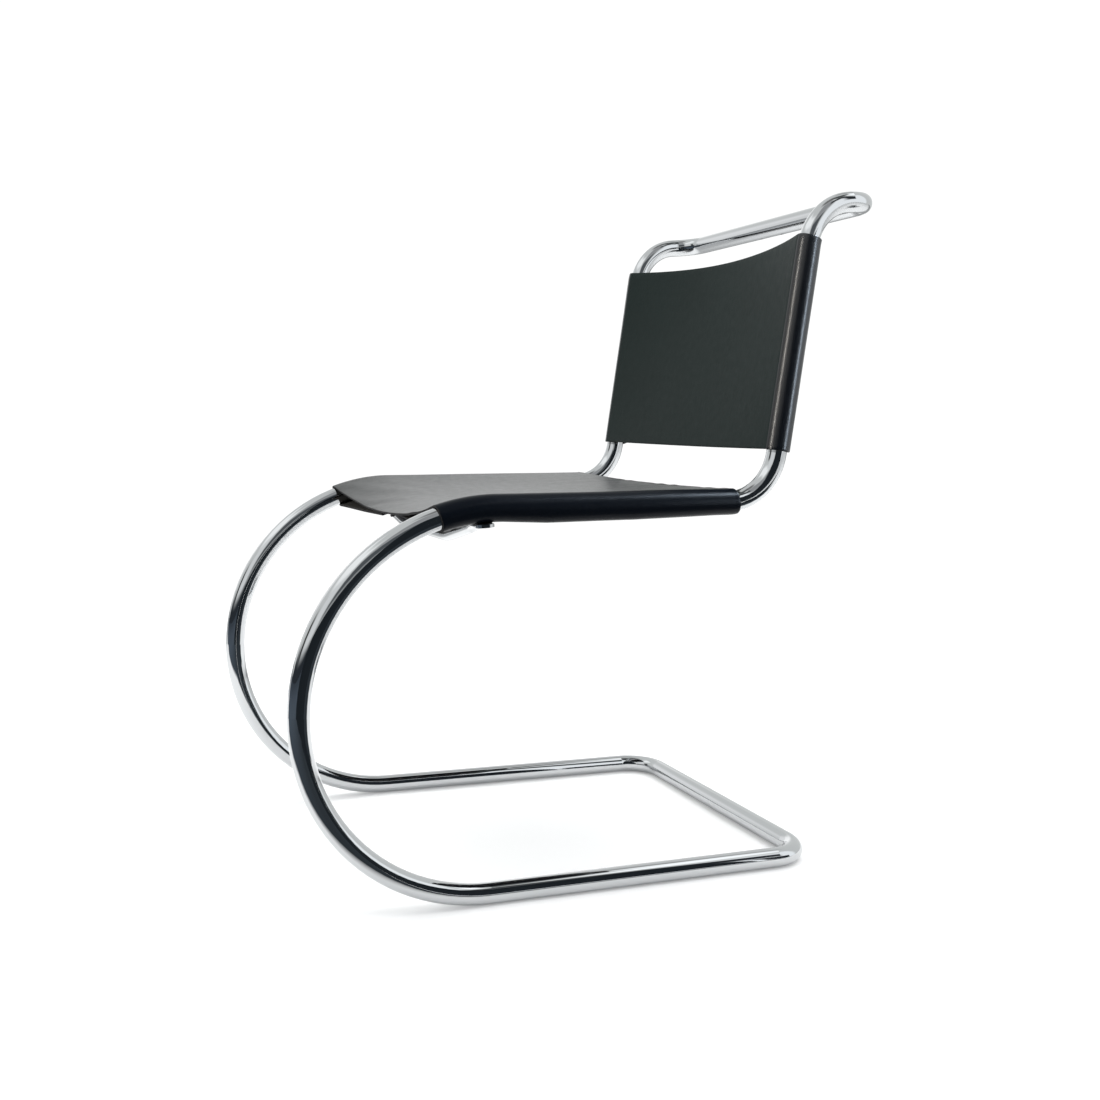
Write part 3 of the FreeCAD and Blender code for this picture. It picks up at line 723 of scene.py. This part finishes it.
# Place of the camera, and its right, up and backward directions.
CAMERA_PLACE = (1.45735, -0.57827, 0.52220)
CAMERA_AXES = (
    (0.380666, 0.924289, 0.027986),
    (-0.100827, 0.011403, 0.994839),
    (0.919199, -0.381523, 0.097534),
)


def studio_world(look):
    """Pale backdrop, dark room, windows and dim ceiling, as the metal and leather see them."""
    world = bpy.data.worlds.new("studio")
    world.use_nodes = True
    graph = Graph(world.node_tree)
    output = graph.add("ShaderNodeOutputWorld")
    coords = graph.add("ShaderNodeTexCoord")
    split = graph.add("ShaderNodeSeparateXYZ")
    graph.link(coords.outputs["Generated"], split.inputs["Vector"])
    azimuth = math_node(graph, "ARCTAN2", split.outputs["Y"], split.outputs["X"])
    elevation = math_node(graph, "ARCSINE", split.outputs["Z"])
    colour = None
    for name, sides, heights, edge, tint in ROOM_PATCHES:
        mask = math_node(graph, "MULTIPLY", band(graph, azimuth, sides, edge),
                         band(graph, elevation, heights, edge))
        mix = graph.add("ShaderNodeMix", data_type="RGBA", label=name)
        mix.inputs["B"].default_value = (*(tint or look.room), 1)
        if colour is None:
            mix.inputs["A"].default_value = (*look.wall, 1)
        else:
            graph.link(colour, mix.inputs["A"])
        graph.link(mask, mix.inputs["Factor"])
        colour = mix.outputs["Result"]
    lit = graph.add("ShaderNodeBackground")
    graph.link(colour, lit.inputs["Color"])
    seen = graph.add("ShaderNodeBackground")
    seen.inputs["Color"].default_value = PURE_WHITE
    paths = graph.add("ShaderNodeLightPath")
    choose = graph.add("ShaderNodeMixShader")
    graph.link(paths.outputs["Is Camera Ray"], choose.inputs["Fac"])
    graph.link(lit.outputs["Background"], choose.inputs[1])
    graph.link(seen.outputs["Background"], choose.inputs[2])
    graph.link(choose.outputs["Shader"], output.inputs["Surface"])
    return world


def band(graph, angle, limits, edge):
    """1 between two angles and 0 outside, with soft edges; limits and edge in degrees."""
    sides = []
    for limit, low, high in ((limits[0], 0.0, 1.0), (limits[1], 1.0, 0.0)):
        node = graph.add("ShaderNodeMapRange", interpolation_type="SMOOTHSTEP")
        node.inputs["From Min"].default_value = math.radians(limit - edge)
        node.inputs["From Max"].default_value = math.radians(limit + edge)
        node.inputs["To Min"].default_value = low
        node.inputs["To Max"].default_value = high
        graph.link(angle, node.inputs["Value"])
        sides.append(node.outputs["Result"])
    return math_node(graph, "MULTIPLY", *sides)


def paper_floor():
    """White paper that runs into the white backdrop.

    Reflections alone see a painted dark zone past its near edges, and painted shade far to the left.
    """
    material, graph, shader, coords = new_material("floor_paper")
    shader.inputs["Roughness"].default_value = 0.9
    shader.inputs["Specular IOR Level"].default_value = 0.1
    tooth = noise_on(graph, coords, scale=3.0, detail=2.0)
    graph.link(mix_colours(graph, tooth.outputs["Fac"], (0.875, 0.875, 0.875), (0.885, 0.885, 0.885)),
               shader.inputs["Base Color"])
    paths = graph.add("ShaderNodeLightPath")
    # The paper glows a little in every ray and more for the camera: painted light that keeps it white and
    # fills the shade under the chair.
    shader.inputs["Emission Color"].default_value = (1.0, 1.0, 1.0, 1)
    graph.link(spread(graph, paths.outputs["Is Camera Ray"], 0.10, 0.22, from_low=0, from_high=1),
               shader.inputs["Emission Strength"])

    def rising(direction, start, end):
        """0 before the start and 1 past the end, measured along a direction."""
        way = graph.add("ShaderNodeVectorMath", operation="DOT_PRODUCT")
        way.inputs[1].default_value = direction
        graph.link(coords.outputs["Object"], way.inputs[0])
        return spread(graph, way.outputs["Value"], 0, 1, start, end)

    # Dark colour that only reflections see: painted reflection past the near edges, and painted shade far to
    # the left.
    dark = graph.add("ShaderNodeBsdfDiffuse")
    towards_front = rising((0.0, -1.0, 0.0), 0.3, 1.3)
    graph.link(mix_colours(graph, towards_front, (0.030, 0.036, 0.042), (0.075, 0.092, 0.115)),
               dark.inputs["Color"])
    near_edges = math_node(graph, "MAXIMUM", rising((0.988, -0.155, 0.0), 0.29, 0.38),
                           rising((0.70, -0.71, 0.0), 0.55, 0.64))
    past_edge = math_node(graph, "MULTIPLY", near_edges, rising((-0.50, -0.87, 0.0), -1.9, -1.4))
    left_shade = math_node(graph, "MULTIPLY", rising((-1.0, 0.0, 0.0), 0.9, 1.6), LEFT_SHADE)
    reflected = math_node(graph, "MULTIPLY", math_node(graph, "MAXIMUM", past_edge, left_shade),
                          paths.outputs["Is Glossy Ray"])
    near = graph.add("ShaderNodeMixShader")
    graph.link(reflected, near.inputs["Fac"])
    graph.link(shader.outputs["BSDF"], near.inputs[1])
    graph.link(dark.outputs["BSDF"], near.inputs[2])
    lit = graph.add("ShaderNodeEmission")
    lit.inputs["Color"].default_value = PURE_WHITE
    distance = graph.add("ShaderNodeVectorMath", operation="LENGTH")
    graph.link(coords.outputs["Object"], distance.inputs[0])
    far_off = math_node(graph, "MULTIPLY", spread(graph, distance.outputs["Value"], 0, 1, 0.9, 2.2),
                        paths.outputs["Is Camera Ray"])
    both = graph.add("ShaderNodeMixShader")
    graph.link(far_off, both.inputs["Fac"])
    graph.link(near.outputs["Shader"], both.inputs[1])
    graph.link(lit.outputs["Emission"], both.inputs[2])
    output = next(node for node in graph.tree.nodes if node.bl_idname == "ShaderNodeOutputMaterial")
    graph.link(both.outputs["Shader"], output.inputs["Surface"])
    return material


def black_cloth():
    """Black cloth of the flags; a faint glow of its own stands for the light that falls on it."""
    material, graph, shader, coords = new_material("black_cloth")
    nap = noise_on(graph, coords, scale=4.0, detail=2.0)
    graph.link(mix_colours(graph, nap.outputs["Fac"], (0.013, 0.017, 0.021), (0.021, 0.026, 0.031)),
               shader.inputs["Emission Color"])
    shader.inputs["Emission Strength"].default_value = 1.0
    shader.inputs["Base Color"].default_value = (0, 0, 0, 1)
    shader.inputs["Specular IOR Level"].default_value = 0.0
    return material


def hang_flag(name, across, heights, cloth):
    """Upright flag that only reflections show, so that it neither shades nor hides anything."""
    bm = bmesh.new()
    middle = Matrix.Translation((FLAG_X, sum(across) / 2, sum(heights) / 2))
    size = Matrix.Diagonal((heights[1] - heights[0], across[1] - across[0], 1, 1))
    bmesh.ops.create_grid(bm, x_segments=1, y_segments=1, size=0.5,
                          matrix=middle @ Matrix.Rotation(math.radians(90), 4, "Y") @ size)
    flag = object_from(bm, name, [cloth])
    for sense in ("camera", "diffuse", "transmission", "volume_scatter", "shadow"):
        setattr(flag, "visible_" + sense, False)


def area_light(name, place, target, size, power, colour):
    """Rectangular lamp that points at a target and doesn't show in the picture."""
    light = bpy.data.lights.new(name, "AREA")
    light.shape = "RECTANGLE"
    light.size, light.size_y = size
    light.energy = power
    light.color = colour
    lamp = bpy.data.objects.new(name, light)
    bpy.context.scene.collection.objects.link(lamp)
    lamp.visible_camera = False
    lamp.location = place
    lamp.rotation_euler = (Vector(target) - Vector(place)).to_track_quat("-Z", "Y").to_euler()
    return lamp


def fall_only_on(lamp, pieces):
    """The lamp lights the given pieces and nothing else."""
    receivers = bpy.data.collections.new(lamp.name + "_receivers")
    for piece in pieces:
        receivers.objects.link(piece)
    lamp.light_linking.receiver_collection = receivers


# Operators

# Finish of each node that is kept from the solid model.
METAL_NODES = {
    "chrome": ("frame_tube_left", "frame_tube_right", "cross_brace"),
    "black": ("brace_washers", "brace_screws"),
    "steel": ("base_joint_spigot", "top_joint_spigot", "base_joint_screws", "top_joint_screws",
              "brace_thread_bushes"),
    "nickel": ("seat_eyelets_left", "seat_eyelets_right", "back_eyelets_left", "back_eyelets_right"),
}
EYELET_PITCH = {"seat": 0.032, "back": 0.030}
PAST_RUN = 0.009  # both sheets end this far past their run of the rails


def chair_wraps(scene):
    """How the seat's and the back's leather lie on the rails."""
    sizes = scene.chair_sizes
    return {
        "seat": Wrap(sizes, "seat_rail", start=-0.070, end=LAID["seat_rail"].length + PAST_RUN,
                     sags=(0.022, 0.004), droops=(0.0012, 0.0012), skews=(0.0045, 0.0),
                     trim=0.0, taper=0.009),
        "back": Wrap(sizes, "upright", start=0.003, end=LAID["upright"].length + PAST_RUN,
                     sags=(0.008, 0.031), droops=(0.005, 0.013), skews=(0.0, 0.0),
                     trim=0.0035, taper=0.004),
    }


class CHAIR_OT_metal(bpy.types.Operator):
    """Polished chrome on the frame and brace, and plain metal on the fittings"""
    bl_idname = "chair.metal"
    bl_label = "Finish the metal"

    def execute(self, context):
        look = context.scene.chair_metal
        finishes = {
            "chrome": metal("polished_chrome", look.chrome, look.polish * 0.6, look.polish * 2.2),
            "steel": metal("turned_steel", look.steel, 0.25, 0.45, scale=300.0),
            "nickel": metal("nickel_plate", look.nickel, 0.16, 0.34, scale=200.0),
            "black": metal("blackened_steel", look.black, 0.30, 0.45, scale=200.0),
        }
        for finish, nodes in METAL_NODES.items():
            for node in nodes:
                give(node, finishes[finish])
        return {"FINISHED"}


class CHAIR_OT_slings(bpy.types.Operator):
    """Seat and back leather, each one sheet wrapped round both rails"""
    bl_idname = "chair.slings"
    bl_label = "Hang the leather"

    def execute(self, context):
        look = context.scene.chair_leather
        flesh = leather_back("leather_flesh", look.flesh, fibre=700.0)
        edge = leather_back("leather_edge", look.edge, fibre=1200.0)
        # Colour, roughness, specular level and coat of the panel and of the leather on the rails.
        finishes = {
            "seat": {"panel": (look.seat, look.seat_roughness, 0.40, 0.10),
                     "sleeve": (look.sleeve, look.sleeve_roughness, 0.085, 0.03)},
            "back": {"panel": (look.back, look.back_roughness, 0.10, 0.0),
                     "sleeve": (look.sleeve, look.sleeve_roughness, 0.45, 0.25)},
        }
        reliefs = {"seat": seat_relief, "back": back_relief}
        for place, wrap in chair_wraps(context.scene).items():
            name, node = place + "_leather", place + "_sling"
            outsides = [leather_finish("%s_%s" % (name, part), look, *finish)
                        for part, finish in finishes[place].items()]
            sheet = leather_sheet(name, wrap, EYELET_PITCH[place], reliefs[place],
                                  (*outsides, flesh, flesh, edge))
            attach(sheet, "root")
            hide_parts(node)
            wrap.flat_size()
        return {"FINISHED"}


class CHAIR_OT_lacing(bpy.types.Operator):
    """Braided cord that laces each pair of flaps together, knotted at both ends"""
    bl_idname = "chair.lacing"
    bl_label = "Lace the flaps"

    def execute(self, context):
        cord = waxed_cord("waxed_cord")
        radius = context.scene.chair_sizes.cord / 2
        for place, wrap in chair_wraps(context.scene).items():
            name, node = place + "_cord", place + "_lacing"
            stops = wrap.eyelet_stops(EYELET_PITCH[place])
            bm = cord_mesh(name, cord_route(wrap, stops), radius)
            for distance, side in ((stops[0], -1), (stops[-1], 1)):
                knot = cord_mesh(name + "_knot", knot_route(wrap, distance, side), radius)
                loose = bpy.data.meshes.new(name + "_knot")
                knot.to_mesh(loose)
                knot.free()
                bm.from_mesh(loose)
                bpy.data.meshes.remove(loose)
            piece = object_from(bm, name, [cord])
            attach(piece, "root")
            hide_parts(node)
        return {"FINISHED"}


class CHAIR_OT_studio(bpy.types.Operator):
    """Pale floor, soft studio light and the camera"""
    bl_idname = "chair.studio"
    bl_label = "Set the studio"

    def execute(self, context):
        look = context.scene.chair_studio
        scene = context.scene
        bm = bmesh.new()
        bmesh.ops.create_grid(bm, x_segments=1, y_segments=1, size=FLOOR_HALF)
        floor = object_from(bm, "floor", [paper_floor()])
        scene.world = studio_world(look)
        cloth = black_cloth()
        for name, across, heights in FLAGS:
            hang_flag(name, across, heights, cloth)
        softbox = area_light("softbox", place=(-0.3, 0.2, 3.2), target=(-0.1, 0.1, 0.0), size=(4.5, 4.5),
                             power=look.softbox, colour=(1.0, 1.0, 1.0))
        softbox.visible_glossy = False
        leather = [bpy.data.objects["seat_leather"], bpy.data.objects["back_leather"]]
        for lamp in LEATHER_LAMPS:
            fall_only_on(area_light(*lamp), leather)
        camera = bpy.data.cameras.new("camera")
        camera.sensor_width = 36.0
        camera.lens = look.lens
        camera.clip_start = 0.05
        camera.clip_end = 100.0
        viewer = bpy.data.objects.new("camera", camera)
        scene.collection.objects.link(viewer)
        turn = Matrix(CAMERA_AXES).transposed().to_4x4()
        viewer.matrix_world = Matrix.Translation(CAMERA_PLACE) @ turn
        scene.camera = viewer
        scene.view_settings.view_transform = "Standard"
        return {"FINISHED"}


class CHAIR_PT_dressing(bpy.types.Panel):
    """Lists the chair's pieces and their settings"""
    bl_label = "Chair"
    bl_idname = "CHAIR_PT_dressing"
    bl_space_type = "VIEW_3D"
    bl_region_type = "UI"
    bl_category = "Chair"

    def draw(self, context):
        layout = self.layout
        scene = context.scene
        for operator in OPERATORS:
            layout.operator(operator.bl_idname)
        for group in (scene.chair_sizes, scene.chair_leather, scene.chair_metal, scene.chair_studio):
            box = layout.box()
            for key in group.bl_rna.properties.keys():
                if key not in ("rna_type", "name"):
                    box.prop(group, key)


GROUPS = {"chair_sizes": ChairSizes, "chair_leather": LeatherLook, "chair_metal": MetalLook,
          "chair_studio": StudioLook}
OPERATORS = (CHAIR_OT_metal, CHAIR_OT_slings, CHAIR_OT_lacing, CHAIR_OT_studio)


def register():
    for group in GROUPS.values():
        bpy.utils.register_class(group)
    for name, group in GROUPS.items():
        setattr(bpy.types.Scene, name, PointerProperty(type=group))
    for item in (*OPERATORS, CHAIR_PT_dressing):
        bpy.utils.register_class(item)


def unregister():
    for item in (CHAIR_PT_dressing, *reversed(OPERATORS)):
        bpy.utils.unregister_class(item)
    for name, group in reversed(GROUPS.items()):
        delattr(bpy.types.Scene, name)
        bpy.utils.unregister_class(group)


def main():
    register()
    bpy.ops.chair.metal()
    bpy.ops.chair.slings()
    bpy.ops.chair.lacing()
    bpy.ops.chair.studio()


if __name__ == "__main__":
    main()
